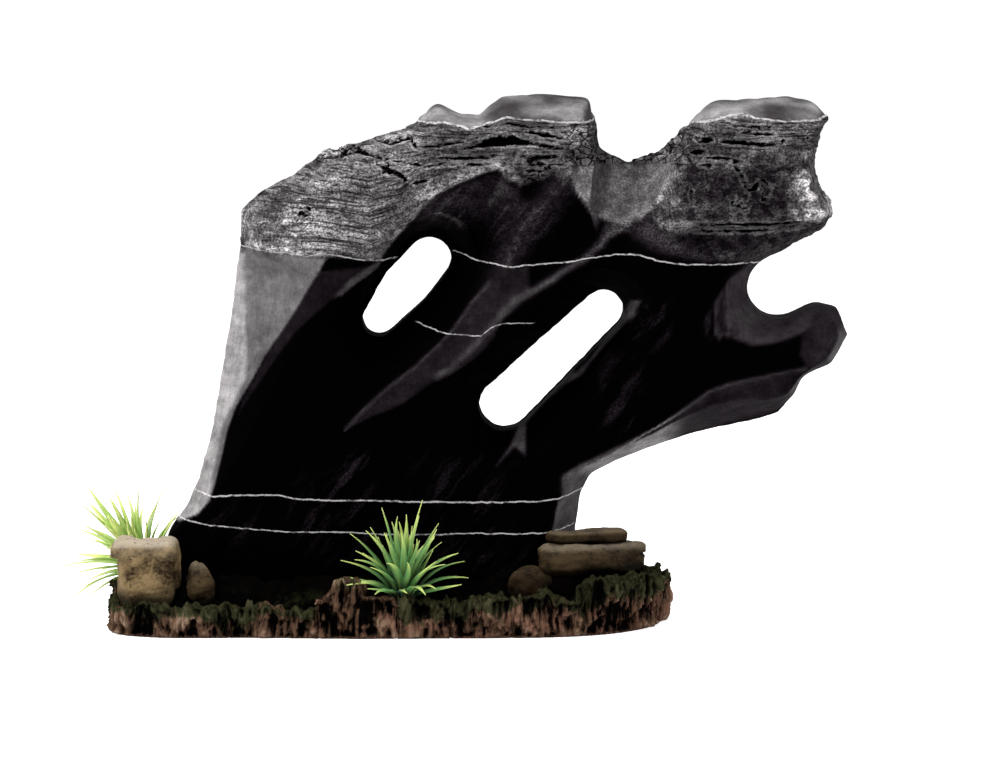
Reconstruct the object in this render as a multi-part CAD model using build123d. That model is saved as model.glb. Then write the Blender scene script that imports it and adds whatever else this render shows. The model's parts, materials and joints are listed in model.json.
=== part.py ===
"""Aquarium cave ornament: a leaning slate rock with two swim-through slots, cast in resin and
bonded to a moss-covered plinth with a bark edge, bedded stones and two plug-in grass tufts.

Millimetres. X runs along the ornament, Y from front to back, Z up.
The origin is the centre of the plinth's resting face.
"""
import os
from math import cos, hypot, radians, sin

from build123d import *

# ---------------------------------------------------------------- overall
base_half_length = 112.0      # widest half length, at the lip of the bark
base_half_depth = 55.0        # widest half depth, at the lip of the bark
rock_height = 202.0           # of the rock alone, above the slab
glue_gap = 0.2                # between bonded castings

# ---------------------------------------------------------------- plinth and its bark edge
slab_height = 8.0
bark_thickness = 6.0          # bark plates, measured in from the lip
bark_undercut = 2.5           # how far the bark tucks in at the floor
bark_lip_height = 13.0        # height at which the bark is widest
bark_wall_height = 30.0       # the bark wall is modelled to here, then cut to each plate's height
bark_joint = 0.5              # gap between neighbouring bark plates
stump_height = 22.2
stump_step = 5.6              # the stump's outer skin and right end are lower by this much
stump_depth = 15.0            # measured in from the lip, as the bark is
moss_rim = 3.0                # moss above the slab where it meets the bark
moss_crown = 11.5             # moss above the slab where it meets the rock
moss_bank = 17.0              # width of the sloping bank of moss
pebble_bed = 2.0              # moss left under a pebble
pebble_lean = 24.5            # the right pebble leans on the flat stones: how far left of their centre it lies
pebble_centre = 0.45          # a pebble's centre above its bed, as a share of its height
mound_inset = 2.0             # the mound's top stands in from the edge of the flat stone on it
mound_spread = 2.0            # and the mound's foot stands out from its top by this much

# ---------------------------------------------------------------- rock
rock_half_depth = 28.0        # front and back faces of the rock
rock_keel = 5.0               # half width of the band that carries the outer silhouette
back_bevel_share = 0.8        # the back is dressed a little less than the front
spigot_height = 2.0           # the locating block under the rock
spigot_margin = 13.0          # it stands in from both ends of the rock's foot by this much
spigot_width = 26.0
slot_flare = 32.0             # degrees
slot_throat = 9.0             # half depth of the straight part of each slot
cutter_spare = 6.0            # the slots' cutters run past the broad faces by this much
scoop_radii = (13.0, 19.0)    # the hollow under the saddle, at its top and at its foot
scoop_set_back = 4.0          # where the hollow starts, from the rock's middle plane
scoop_reach = 10.0            # and how far past the broad face it ends

# ---------------------------------------------------------------- grass tufts
peg_radius = 2.5
peg_length = 10.0
peg_clearance = 0.1           # radial, so the tuft can be pulled out for cleaning
peg_floor = 3.0               # slab left under the peg's end
socket_spare = 0.6            # the socket is deeper than the peg by this much
boss_wall = 2.8
tuft_set_back = 7.0           # the front tuft's seat, from the inside of the bark
collar_radius = 4.4
collar_height = 1.6
seat_gap = 0.1                # under the collar
stem_radius = 1.2
top_hub_radius = 2.5
hub_step = 0.9                # each hub is wider than the one above it by this much
hub_height = 1.9
hub_pitch = 2.1
hub_clearance = 0.06
blade_width = 2.2
blade_thickness = 0.6
blade_tip = 0.24              # width and thickness at the tip
stem_spare = 1.0              # the stem stands above the top hub's pitch by this much

boss_radius = peg_radius + peg_clearance + boss_wall
tuft_seat = peg_floor + peg_length + socket_spare


# ================================================================ helpers and outlines
def upright(radius, height):
    """A cylinder that stands on its local origin."""
    return Cylinder(radius, height, align=(Align.CENTER, Align.CENTER, Align.MIN))


def hanging(radius, height):
    """A cylinder that hangs below its local origin."""
    return Cylinder(radius, height, align=(Align.CENTER, Align.CENTER, Align.MAX))


def moved_in(points, distances):
    """Each point moved towards the inside of a closed clockwise outline, square to its neighbours' chord."""
    count = len(points)
    result = []
    for i, (x, y) in enumerate(points):
        x0, y0 = points[i - 1]
        x1, y1 = points[(i + 1) % count]
        chord = hypot(x1 - x0, y1 - y0)
        result.append((x + distances[i] * (y1 - y0) / chord, y - distances[i] * (x1 - x0) / chord))
    return result


# Plinth lip seen from above, as shares of the half length and half depth, clockwise from the left end.
PLINTH_LIP = [
    (-1.00, 0.18), (-0.96, 0.72), (-0.78, 0.93), (-0.42, 0.95), (-0.04, 1.00), (0.36, 0.96), (0.72, 0.84),
    (0.93, 0.50), (1.00, 0.04), (0.96, -0.42), (0.81, -0.77), (0.54, -0.95), (0.20, -0.98), (-0.14, -1.00),
    (-0.50, -0.96), (-0.80, -0.95), (-0.96, -0.80), (-1.00, -0.34),
]


def plinth_outline(inset):
    """The plinth's outline as a smooth closed face, drawn in from the lip."""
    lip = [(x * base_half_length, y * base_half_depth) for x, y in PLINTH_LIP]
    return make_face(Spline(moved_in(lip, [inset] * len(lip)), periodic=True))


# The rock's outlines are drawn 202 mm tall on a plinth 224 mm long, and stretched to the sizes above.
length_scale = base_half_length / 112.0
height_scale = rock_height / 202.0

# Rock seen from the front: x, height above the slab, and how far the front face is dressed back there.
ROCK_OUTLINE = [
    (-88.0, 0.0, 3), (-89.0, 26.5, 4), (-81.5, 37.0, 7), (-76.5, 48.0, 10), (-71.0, 68.0, 17),
    (-66.0, 96.0, 25), (-62.5, 117.5, 31), (-60.2, 135.0, 35),                       # long left facet
    (-59.2, 142.5, 11), (-59.0, 155.5, 8), (-52.0, 162.5, 8), (-35.5, 171.5, 8),     # left shoulder
    (-26.0, 180.0, 7), (-7.0, 184.3, 7), (4.0, 187.0, 7), (11.5, 192.2, 7), (19.5, 198.2, 8),
    (28.5, 193.4, 4), (36.0, 193.4, 4),
    (44.8, 201.2, 9), (58.6, 202.0, 10), (79.0, 200.4, 9), (81.5, 192.0, 5), (84.0, 181.0, 5),
    (95.0, 175.2, 5), (110.0, 181.5, 5), (121.8, 193.2, 6),                          # saddle
    (130.0, 199.0, 8), (158.6, 201.0, 9), (168.2, 199.1, 8), (174.0, 193.5, 6),      # right crown
    (169.5, 180.0, 6), (170.2, 167.0, 6), (177.6, 156.5, 6), (173.5, 149.5, 6),
    (160.5, 143.5, 6), (150.0, 133.0, 5), (150.0, 122.0, 5), (158.0, 116.0, 5),      # behind the bay
    (170.5, 119.2, 6), (178.5, 117.3, 7), (182.8, 106.7, 8), (176.5, 95.0, 8),       # hooked tip
    (165.0, 89.8, 4), (161.5, 82.8, 6), (155.5, 75.3, 12), (146.0, 72.4, 15),
    (131.4, 69.6, 14), (119.0, 66.4, 11), (104.0, 61.4, 8), (90.0, 56.0, 6),         # underside flange
    (80.0, 50.2, 7), (76.0, 41.5, 9), (74.4, 26.8, 10), (73.6, 0.0, 10),
]

# Slots and bay: circles (x, height, radius) whose common outline is the opening.
UPPER_SLOT = [(-4.2, 112.8, 6.6), (6.9, 126.4, 9.5), (16.2, 137.3, 8.7)]
LONG_SLOT = [(46.2, 78.8, 10.3), (85.2, 116.6, 8.3)]
SIDE_BAY = [(155.4, 126.2, 12.8), (195.9, 145.8, 13.4)]


def on_rock(x, height):
    """A point of the outlines above, stretched to the sizes asked for."""
    return x * length_scale, slab_height + height * height_scale


def on_front_plane(y):
    """A drawing plane square to Y whose local axes are X and Z."""
    return Plane(origin=(0, y, 0), x_dir=(1, 0, 0), z_dir=(0, -1, 0))


def dressed_block(outline, half_depth, back_share):
    """A block with that outline round its middle, its front and back faces dressed back from it."""
    points = [on_rock(x, height) for x, height, _ in outline]
    bevels = [bevel for _, _, bevel in outline]

    def section(y, share):
        dressed = moved_in(points, [share * bevel for bevel in bevels])
        return on_front_plane(y) * Polygon(dressed, align=None)

    front = loft([section(-half_depth, 1.0), section(-rock_keel, 0.0)], ruled=True)
    middle = extrude(section(0.0, 0.0), rock_keel, both=True)
    back = loft([section(rock_keel, 0.0), section(half_depth, back_share)], ruled=True)
    return front + middle + back


def circle_hull(circles):
    """The outline of some circles and their common tangents."""
    edges = Curve()
    for x, height, radius in circles:
        edges += Pos(*on_rock(x, height)) * Edge.make_circle(radius)
    return make_hull(edges.edges())


def flared_opening(circles):
    """A slot right through the rock that opens out towards the front and the back."""
    mouth = rock_half_depth + cutter_spare
    cutter = extrude(on_front_plane(0) * circle_hull(circles), mouth, both=True)
    depth = mouth - slot_throat
    for side in (-1, 1):
        cutter += extrude(on_front_plane(side * slot_throat) * circle_hull(circles), -side * depth, taper=-slot_flare)
    return cutter


# ================================================================ rock casting
def side_envelope():
    """How thick the rock is at each height: broad at the foot, lean at the crown."""
    half = rock_half_depth
    front = [(half + 2, 0), (half + 2, 32), (half - 1.5, 67), (half - 0.5, 142), (half - 4, 184), (half - 11, 205)]
    back = [(half - 13, 205), (half - 7, 187), (half - 3, 142), (half - 2.5, 72), (half, 34), (half, 0)]
    profile = [(-y, on_rock(0, z)[1]) for y, z in front] + [(y, on_rock(0, z)[1]) for y, z in back]
    return extrude(Plane.YZ * Polygon(profile, align=None), 2 * base_half_length, both=True)


def plan_envelope():
    """How thick the rock is along its length: it thins towards both ends."""
    half = rock_half_depth
    front = [(-92, half - 18), (-70, half - 5), (-22, half + 0.5), (42, half + 2), (110, half - 1), (150, half - 4.5),
             (186, half - 14)]
    back = [(186, half - 17), (150, half - 8), (104, half - 3), (40, half), (-20, half - 2), (-68, half - 7),
            (-92, half - 19)]
    plan = [(x * length_scale, -y) for x, y in front] + [(x * length_scale, y) for x, y in back]
    return extrude(Polygon(plan, align=None), 2 * (slab_height + rock_height), both=True)


def saddle_scoop(side):
    """The hollow that runs down from the saddle over one face of the rock."""
    x, z = on_rock(100.0, 194.0)
    foot_x, foot_z = on_rock(94.0, 150.0)
    axis = Vector(foot_x - x, side * (rock_half_depth + scoop_reach), foot_z - z)
    plane = Plane(origin=(x, side * scoop_set_back, z), z_dir=axis)
    return plane * Cone(*scoop_radii, axis.length, align=(Align.CENTER, Align.CENTER, Align.MIN))


def foot_spigot(grow=0.0):
    """The low locating block under the rock; the plinth has a pocket for it."""
    left = ROCK_OUTLINE[0][0] * length_scale + spigot_margin
    right = ROCK_OUTLINE[-1][0] * length_scale - spigot_margin
    return Pos((left + right) / 2, 0, slab_height) * Box(
        right - left + 2 * grow, spigot_width + 2 * grow, spigot_height + grow,
        align=(Align.CENTER, Align.CENTER, Align.MAX),
    )


def make_rock():
    rock = dressed_block(ROCK_OUTLINE, rock_half_depth, back_bevel_share)
    rock &= side_envelope()
    rock &= plan_envelope()
    for side in (-1, 1):
        rock -= saddle_scoop(side)
    for circles in (UPPER_SLOT, LONG_SLOT, SIDE_BAY):
        rock -= flared_opening(circles)
    return rock + foot_spigot()


# ================================================================ plinth
def tuft_place(tuft):
    """The tuft's own frame: its origin on top of the boss, its Z along the peg."""
    x, y = tuft["seat"]
    return Pos(x, y, tuft_seat) * Rot(*tuft["lean"], 0)


def make_plinth():
    """The slab the rock stands on, with a boss and a socket for each tuft."""
    slab = extrude(plinth_outline(bark_thickness + glue_gap), slab_height)
    socket_depth = peg_length + seat_gap + socket_spare
    for tuft in TUFTS:
        boss = tuft_place(tuft) * hanging(boss_radius, tuft_seat - peg_floor / 2)
        slab += boss
        slab -= tuft_place(tuft) * hanging(peg_radius + peg_clearance, socket_depth)
    return slab - foot_spigot(glue_gap)


def make_moss(bedded):
    """A carpet of moss on the slab, banked up around the rock, with a mound under the flat stones."""
    edge = bark_thickness + glue_gap
    moss = loft(
        [
            Pos(0, 0, slab_height) * plinth_outline(edge),
            Pos(0, 0, slab_height + moss_rim) * plinth_outline(edge),
            Pos(0, 0, slab_height + moss_crown) * plinth_outline(edge + moss_bank),
        ],
        ruled=True,
    )
    top = stone_outline(LOWER_FLAT_STONE, mound_inset, LOWER_FLAT_STONE["foot"][2])
    foot = stone_outline(LOWER_FLAT_STONE, mound_inset - mound_spread, slab_height)
    moss += loft([foot, top], ruled=True) & extrude(plinth_outline(edge), 2 * bark_wall_height)
    for solid in bedded:
        moss -= solid
    for tuft in TUFTS:
        hole = tuft_place(tuft) * Cylinder(boss_radius + glue_gap, 2 * (moss_crown + slab_height))
        moss -= hole
    return moss


# Bark plates round the lip: where each starts, in degrees round the plinth, and its height.
BARK_PLATES = [
    (-86.0, 15.5), (-64.0, 14.0), (-46.0, 15.5), (-31.0, 21.5), (-9.0, 15.5), (18.0, 14.5), (50.0, 12.5),
    (88.0, 15.0), (124.0, 13.0), (158.0, 11.0), (193.0, 11.0), (219.0, 12.5),
]
STUMP_SECTOR = (242.6, 360 - 86.0)
STUMP_TOP_SECTOR = (242.6, 259.5)


def bark_ring(depth):
    """The bark edge as one ring of that depth; it leans outwards from the floor to the lip and on up."""
    slope = bark_undercut / bark_lip_height
    foot = plinth_outline(bark_undercut)
    head = Pos(0, 0, bark_wall_height) * plinth_outline(bark_undercut - slope * bark_wall_height)
    return loft([foot, head], ruled=True) - extrude(plinth_outline(depth), bark_wall_height)


def sector(start, end, height):
    """A wedge of a tall disc about the origin, from start to end degrees, less the joint at each side."""
    reach = 3 * base_half_length
    middle = radians((start + end) / 2)
    shift = bark_joint / 2 / sin(radians(end - start) / 2)
    tip = (shift * cos(middle), shift * sin(middle))
    arms = [(tip[0] + reach * cos(radians(a)), tip[1] + reach * sin(radians(a))) for a in (start, end)]
    return extrude(make_face(Polyline(tip, *arms, tip)), height)


def make_bark_plates():
    ring = bark_ring(bark_thickness)
    starts = [start for start, _ in BARK_PLATES] + [STUMP_SECTOR[0]]
    return [ring & sector(starts[i], starts[i + 1], height) for i, (_, height) in enumerate(BARK_PLATES)]


def make_stump():
    """The broken stump left of the front tuft: a low skin in line with the bark, and a taller heart."""
    skin = bark_ring(bark_thickness) & sector(*STUMP_SECTOR, stump_height - stump_step)
    above_slab = Pos(0, 0, slab_height) * extrude(plinth_outline(0), bark_wall_height)
    heart = bark_ring(stump_depth) & sector(*STUMP_TOP_SECTOR, stump_height) & above_slab
    return skin + heart


# ================================================================ stones
def shelf(share, from_front, height=slab_height):
    """A place on the front shelf: a share of the half length, and a distance in from the front lip."""
    return share * base_half_length, from_front - base_half_depth, height


LOWER_FLAT_STONE = {"foot": shelf(0.724, 26.5, 22.5), "length": 45.0, "depth": 16.0, "height": 12.0, "turn": 14.0}
UPPER_FLAT_STONE = {"foot": shelf(0.705, 27.5, 34.6), "length": 33.0, "depth": 11.5, "height": 5.2, "turn": 10.0}


def make_block_stone():
    """The squarish cobble at the front left corner: narrow at its foot, widest below half its height."""
    foot_size, waist_size, top_size = (20.0, 18.5), (27.5, 24.5), (25.5, 23.0)
    waist_height, height = 12.0, 28.5
    top_shift = (-0.8, 0.6)
    waist = Pos(0, 0, waist_height) * Rectangle(*waist_size)
    lower = loft([Rectangle(*foot_size), waist], ruled=True)
    upper = loft([waist, Pos(*top_shift, height) * Rectangle(*top_size)], ruled=True)
    stone = lower + upper
    return Pos(*shelf(-0.854, 22.6)) * Rot(0, 0, -3) * fillet(stone.edges(), 4.0)


def make_pebble(x, y, size, turn):
    """A water-worn pebble: an ellipsoid of that length, depth and height, cut flat where it is bedded."""
    length, depth, height = size
    bed_level = slab_height + pebble_bed
    pebble = Pos(x, y, bed_level + pebble_centre * height) * Rot(*turn) * scale(Sphere(0.5), by=size)
    bed = Box(2 * length, 2 * depth, height, align=(Align.CENTER, Align.CENTER, Align.MAX))
    return pebble - Pos(x, y, bed_level) * bed


def stone_outline(stone, inset, height):
    """A flat stone's rounded outline, drawn in by that much and set at that height."""
    x, y, _ = stone["foot"]
    outline = SlotOverall(stone["length"] - 2 * inset, stone["depth"] - 2 * inset)
    return Pos(x, y, height) * Rot(0, 0, stone["turn"]) * outline


def make_flat_stone(stone, rounding):
    """A river-worn slab with rounded edges."""
    return fillet(extrude(stone_outline(stone, 0.0, stone["foot"][2]), stone["height"]).edges(), rounding)


def make_stones(rock, ring):
    """Every stone by name, trimmed where it is bedded against the rock, the bark or a bigger stone."""
    flat_x, flat_y, _ = LOWER_FLAT_STONE["foot"]
    left_x, left_y, _ = shelf(-0.66, 18.0)
    stones = {
        "block_stone": make_block_stone(),
        "left_pebble": make_pebble(left_x, left_y, (11.5, 11.5, 19.5), (0, -10, 0)),
        "lower_flat_stone": make_flat_stone(LOWER_FLAT_STONE, 4.0),
        "upper_flat_stone": make_flat_stone(UPPER_FLAT_STONE, 2.4),
        "right_pebble": make_pebble(flat_x - pebble_lean, flat_y - 6.5, (19.0, 11.0, 17.5), (0, 0, 8)),
    }
    stones = {name: stone - rock - ring for name, stone in stones.items()}
    stones["right_pebble"] -= stones["lower_flat_stone"]
    return stones


# ================================================================ grass tufts
# Seat, lean about X and Y in degrees, and the side, in degrees round the tuft, where the rock crowds it.
TUFTS = [
    {"name": "front_tuft", "seat": shelf(0.055, bark_thickness + tuft_set_back)[:2], "lean": (11.0, 0.0),
     "crowded_side": 90.0},
    {"name": "rear_tuft", "seat": (-0.88 * base_half_length, base_half_depth - 29.0), "lean": (0.0, -32.0),
     "crowded_side": -70.0},
]
# Each whorl from the lowest up: blades, their length, the rise of their chord, their bow, the first azimuth.
WHORLS = [
    (9, 24.5, 22.0, 3.4, 10.0),
    (8, 27.5, 42.0, 3.0, 32.0),
    (7, 29.5, 60.0, 2.0, 12.0),
    (5, 31.0, 78.0, 0.9, 40.0),
]
crowded_rise = 76.0           # a blade that faces the rock stands at least this steep
crowded_step = 3.0            # each whorl up, that rise grows by this much
crowded_length = 0.62         # the length of such a blade, as a share of the others'
crowded_bow = 0.2             # and its bow
length_spread = 0.12          # blades of one whorl differ in length by this share


def make_blade(length, bow):
    """One blade, root at the origin and tip towards +X, bowed upwards."""
    half, tip_half, wide = blade_thickness / 2, blade_tip / 2, blade_width / 2
    outline = [
        ThreePointArc((0, half), (length / 2, bow + half), (length, tip_half)),
        Line((length, tip_half), (length, -tip_half)),
        ThreePointArc((length, -tip_half), (length / 2, bow - half), (0, -half)),
        Line((0, -half), (0, half)),
    ]
    strip = extrude(Plane.XZ * make_face(Curve() + outline), wide, both=True)
    broadest, root = 0.35 * length, 0.7 * wide
    plan = [(0, -root), (broadest, -wide), (length, -tip_half), (length, tip_half), (broadest, wide), (0, root)]
    return strip & Pos(0, 0, -1) * extrude(Polygon(plan, align=None), bow + 3)


def make_whorl(level, crowded_side):
    """A moulded hub with its ring of blades; each hub is narrower than the one below it."""
    blades, length, rise, bow, first = WHORLS[level]
    hub_radius = top_hub_radius + hub_step * (len(WHORLS) - 1 - level)
    whorl = upright(hub_radius, hub_height)
    for i in range(blades):
        azimuth = first + 360.0 * i / blades
        crowding = max(0.0, cos(radians(azimuth - crowded_side)))
        steepest = crowded_rise + crowded_step * level
        blade_rise = rise + (max(steepest, rise) - rise) * crowding
        spread = 1 + length_spread * sin(2.3 * i + 1.7 * level)
        reach = length * spread * (1 - (1 - crowded_length) * crowding)
        blade = make_blade(reach, bow * (1 - (1 - crowded_bow) * crowding))
        root = Pos(hub_radius - blade_thickness, 0, hub_height / 2)
        whorl += Rot(0, 0, azimuth) * root * Rot(0, -blade_rise, 0) * blade
    return whorl - Cylinder(stem_radius + hub_clearance, 4 * hub_height)


def make_plug():
    """The peg that pushes into the boss, its collar and the stem that carries the whorls."""
    stem_height = collar_height + len(WHORLS) * hub_pitch + stem_spare
    return hanging(peg_radius, peg_length) + upright(collar_radius, collar_height) + upright(stem_radius, stem_height)


def make_tuft(tuft):
    """Every piece of one tuft, by node name."""
    place = tuft_place(tuft) * Pos(0, 0, seat_gap)
    pieces = {f"{tuft['name']}_plug": place * make_plug()}
    for level in range(len(WHORLS)):
        height = collar_height + level * hub_pitch + hub_clearance
        whorl = make_whorl(level, tuft["crowded_side"])
        pieces[f"{tuft['name']}_whorl_{level + 1}"] = place * Pos(0, 0, height) * whorl
    return pieces


# ================================================================ the whole ornament
def make_ornament():
    """Every node's solid, by name."""
    rock = make_rock()
    stump = make_stump()
    stones = make_stones(rock, bark_ring(bark_thickness))
    ornament = {"cave_rock": rock, "base_plinth": make_plinth(), "bark_stump": stump, **stones}
    for i, plate in enumerate(make_bark_plates()):
        ornament[f"bark_plate_{i + 1:02d}"] = plate
    ornament["moss_bed"] = make_moss([rock, stump, *stones.values()])
    for tuft in TUFTS:
        ornament.update(make_tuft(tuft))
    return ornament


if __name__ == "__main__":
    os.makedirs("parts", exist_ok=True)
    for node, shape in make_ornament().items():
        export_step(shape, f"parts/{node}.step")
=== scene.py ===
"""Looks for the aquarium cave ornament: a slate rock, bark, moss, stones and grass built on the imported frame.

Lengths inside the shaping functions are millimetres; a mesh is scaled to metres when it is written.
"""

import json
from math import cos, pi, radians, sin

import bpy
import numpy as np
from mathutils import Matrix, Vector


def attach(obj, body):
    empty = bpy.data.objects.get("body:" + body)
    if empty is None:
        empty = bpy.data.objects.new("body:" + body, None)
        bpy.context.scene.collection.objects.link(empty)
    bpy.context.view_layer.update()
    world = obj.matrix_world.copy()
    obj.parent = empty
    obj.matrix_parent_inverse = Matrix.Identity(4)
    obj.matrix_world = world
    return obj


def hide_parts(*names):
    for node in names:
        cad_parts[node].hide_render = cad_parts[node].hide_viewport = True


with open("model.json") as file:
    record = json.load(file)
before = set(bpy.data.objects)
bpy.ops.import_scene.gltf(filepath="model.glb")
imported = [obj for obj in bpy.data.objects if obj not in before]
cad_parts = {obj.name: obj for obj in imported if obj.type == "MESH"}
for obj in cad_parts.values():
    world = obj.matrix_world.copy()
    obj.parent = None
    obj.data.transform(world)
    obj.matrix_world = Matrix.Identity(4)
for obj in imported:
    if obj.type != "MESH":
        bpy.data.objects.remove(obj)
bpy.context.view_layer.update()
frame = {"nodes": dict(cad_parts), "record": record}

MM = 0.001          # a millimetre in Blender's metres
GAMMA = 2.2         # from the brightness seen on a screen to linear light
bodies = {node: body for body, nodes in frame["record"]["behaviour"]["bodies"].items() for node in nodes}


# ---- shaping helpers
def smooth(low, high, value):
    """0 below low, 1 above high and a smooth step between."""
    t = np.clip((value - low) / (high - low), 0.0, 1.0)
    return t * t * (3.0 - 2.0 * t)


def lattice_noise(points, seed):
    """Smooth noise from -1 to 1 with features about one unit across."""
    cell = np.floor(points).astype(np.int64)
    part = points - cell
    part = part * part * part * (part * (part * 6.0 - 15.0) + 10.0)
    total = np.zeros(len(points))
    for corner in np.ndindex(2, 2, 2):
        at = cell + np.array(corner)
        mixed = (at[:, 0] * 73856093) ^ (at[:, 1] * 19349663) ^ (at[:, 2] * 83492791) ^ (seed * 40503 + 12345)
        mixed = ((mixed ^ (mixed >> 13)) * 1274126177) & 0xFFFFFFFF
        mixed = ((mixed ^ (mixed >> 16)) * 2246822519) & 0xFFFFFFFF
        value = (mixed >> 8) / float(1 << 23) - 1.0
        weight = np.ones(len(points))
        for axis in range(3):
            weight = weight * (part[:, axis] if corner[axis] else 1.0 - part[:, axis])
        total += value * weight
    return total


def fractal(points, size, seed, octaves=4, gain=0.5):
    """Layered noise whose largest features are size across; size is one number or one for each axis."""
    total, weight, reach = 0.0, 1.0, 0.0
    scaled = points / np.asarray(size, dtype=float)
    for octave in range(octaves):
        total = total + weight * lattice_noise(scaled * 2.0 ** octave + 17.3 * octave, seed + octave)
        reach += weight
        weight *= gain
    return total / reach


def from_run(x, z, start, end):
    """How far along a straight run each (x, z) lies, from 0 to 1, and its distance from the run."""
    (x0, z0), (x1, z1) = start, end
    square = (x1 - x0) ** 2 + (z1 - z0) ** 2
    t = np.clip(((x - x0) * (x1 - x0) + (z - z0) * (z1 - z0)) / square, 0.0, 1.0)
    return t, np.hypot(x - x0 - t * (x1 - x0), z - z0 - t * (z1 - z0))


def line_distance(x, z, line):
    """Distance of each (x, z) from a line of straight runs."""
    best = np.full(len(x), np.inf)
    for start, end in zip(line, line[1:]):
        best = np.minimum(best, from_run(x, z, start, end)[1])
    return best


def inside_depth(x, z, outline):
    """How deep each (x, z) lies inside a closed outline; negative outside it."""
    closed = list(outline) + [outline[0]]
    crossings = np.zeros(len(x), dtype=int)
    for (x0, z0), (x1, z1) in zip(closed, closed[1:]):
        spans = (z0 > z) != (z1 > z)
        rise = z1 - z0 if z1 != z0 else 1e-9
        crossings += (spans & (x < (x1 - x0) * (z - z0) / rise + x0)).astype(int)
    distance = line_distance(x, z, closed)
    return np.where(crossings % 2 == 1, distance, -distance)


def level_along(x, points):
    """A height that follows the given (x, height) points."""
    xs, heights = zip(*points)
    return np.interp(x, xs, heights)


# ---- meshes
def read_points(mesh):
    """The vertices in millimetres, one row each."""
    flat = np.empty(len(mesh.vertices) * 3)
    mesh.vertices.foreach_get("co", flat)
    return flat.reshape(-1, 3) / MM


def write_points(mesh, points):
    mesh.vertices.foreach_set("co", (points * MM).ravel())
    mesh.update()


def read_normals(mesh):
    flat = np.empty(len(mesh.vertices) * 3)
    mesh.vertex_normals.foreach_get("vector", flat)
    return flat.reshape(-1, 3)


def store(mesh, name, values):
    """Keeps one number for each vertex, for the materials to read."""
    attribute = mesh.attributes.new(name, "FLOAT", "POINT")
    attribute.data.foreach_set("value", np.asarray(values, dtype=np.float32))


def added(name, data):
    """A new object in the scene."""
    obj = bpy.data.objects.new(name, data)
    bpy.context.scene.collection.objects.link(obj)
    return obj


def recolour(obj, material):
    """Gives an object one material in place of all it had."""
    obj.data.materials.clear()
    obj.data.materials.append(material)


def shade_smooth(mesh):
    for polygon in mesh.polygons:
        polygon.use_smooth = True


def applied(obj):
    """Applies an object's modifiers to its mesh."""
    depsgraph = bpy.context.evaluated_depsgraph_get()
    mesh = bpy.data.meshes.new_from_object(obj.evaluated_get(depsgraph), depsgraph=depsgraph)
    old = obj.data
    obj.modifiers.clear()
    obj.data = mesh
    bpy.data.meshes.remove(old)


def carved_from(node, name, voxel, soften):
    """A fine even mesh of a CAD node, its edges softened, with its points and normals to sculpt with."""
    mesh = frame["nodes"][node].data.copy()
    obj = added(name, mesh)
    remesh = obj.modifiers.new("remesh", "REMESH")
    remesh.mode = "VOXEL"
    remesh.voxel_size = voxel * MM
    relax = obj.modifiers.new("relax", "SMOOTH")
    relax.factor = 0.5
    relax.iterations = soften
    applied(obj)
    shade_smooth(obj.data)
    return obj, read_points(obj.data), read_normals(obj.data)


def place(obj, node, material):
    """Finishes a piece that stands for one CAD node."""
    recolour(obj, material)
    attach(obj, bodies[node])
    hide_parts(node)


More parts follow.
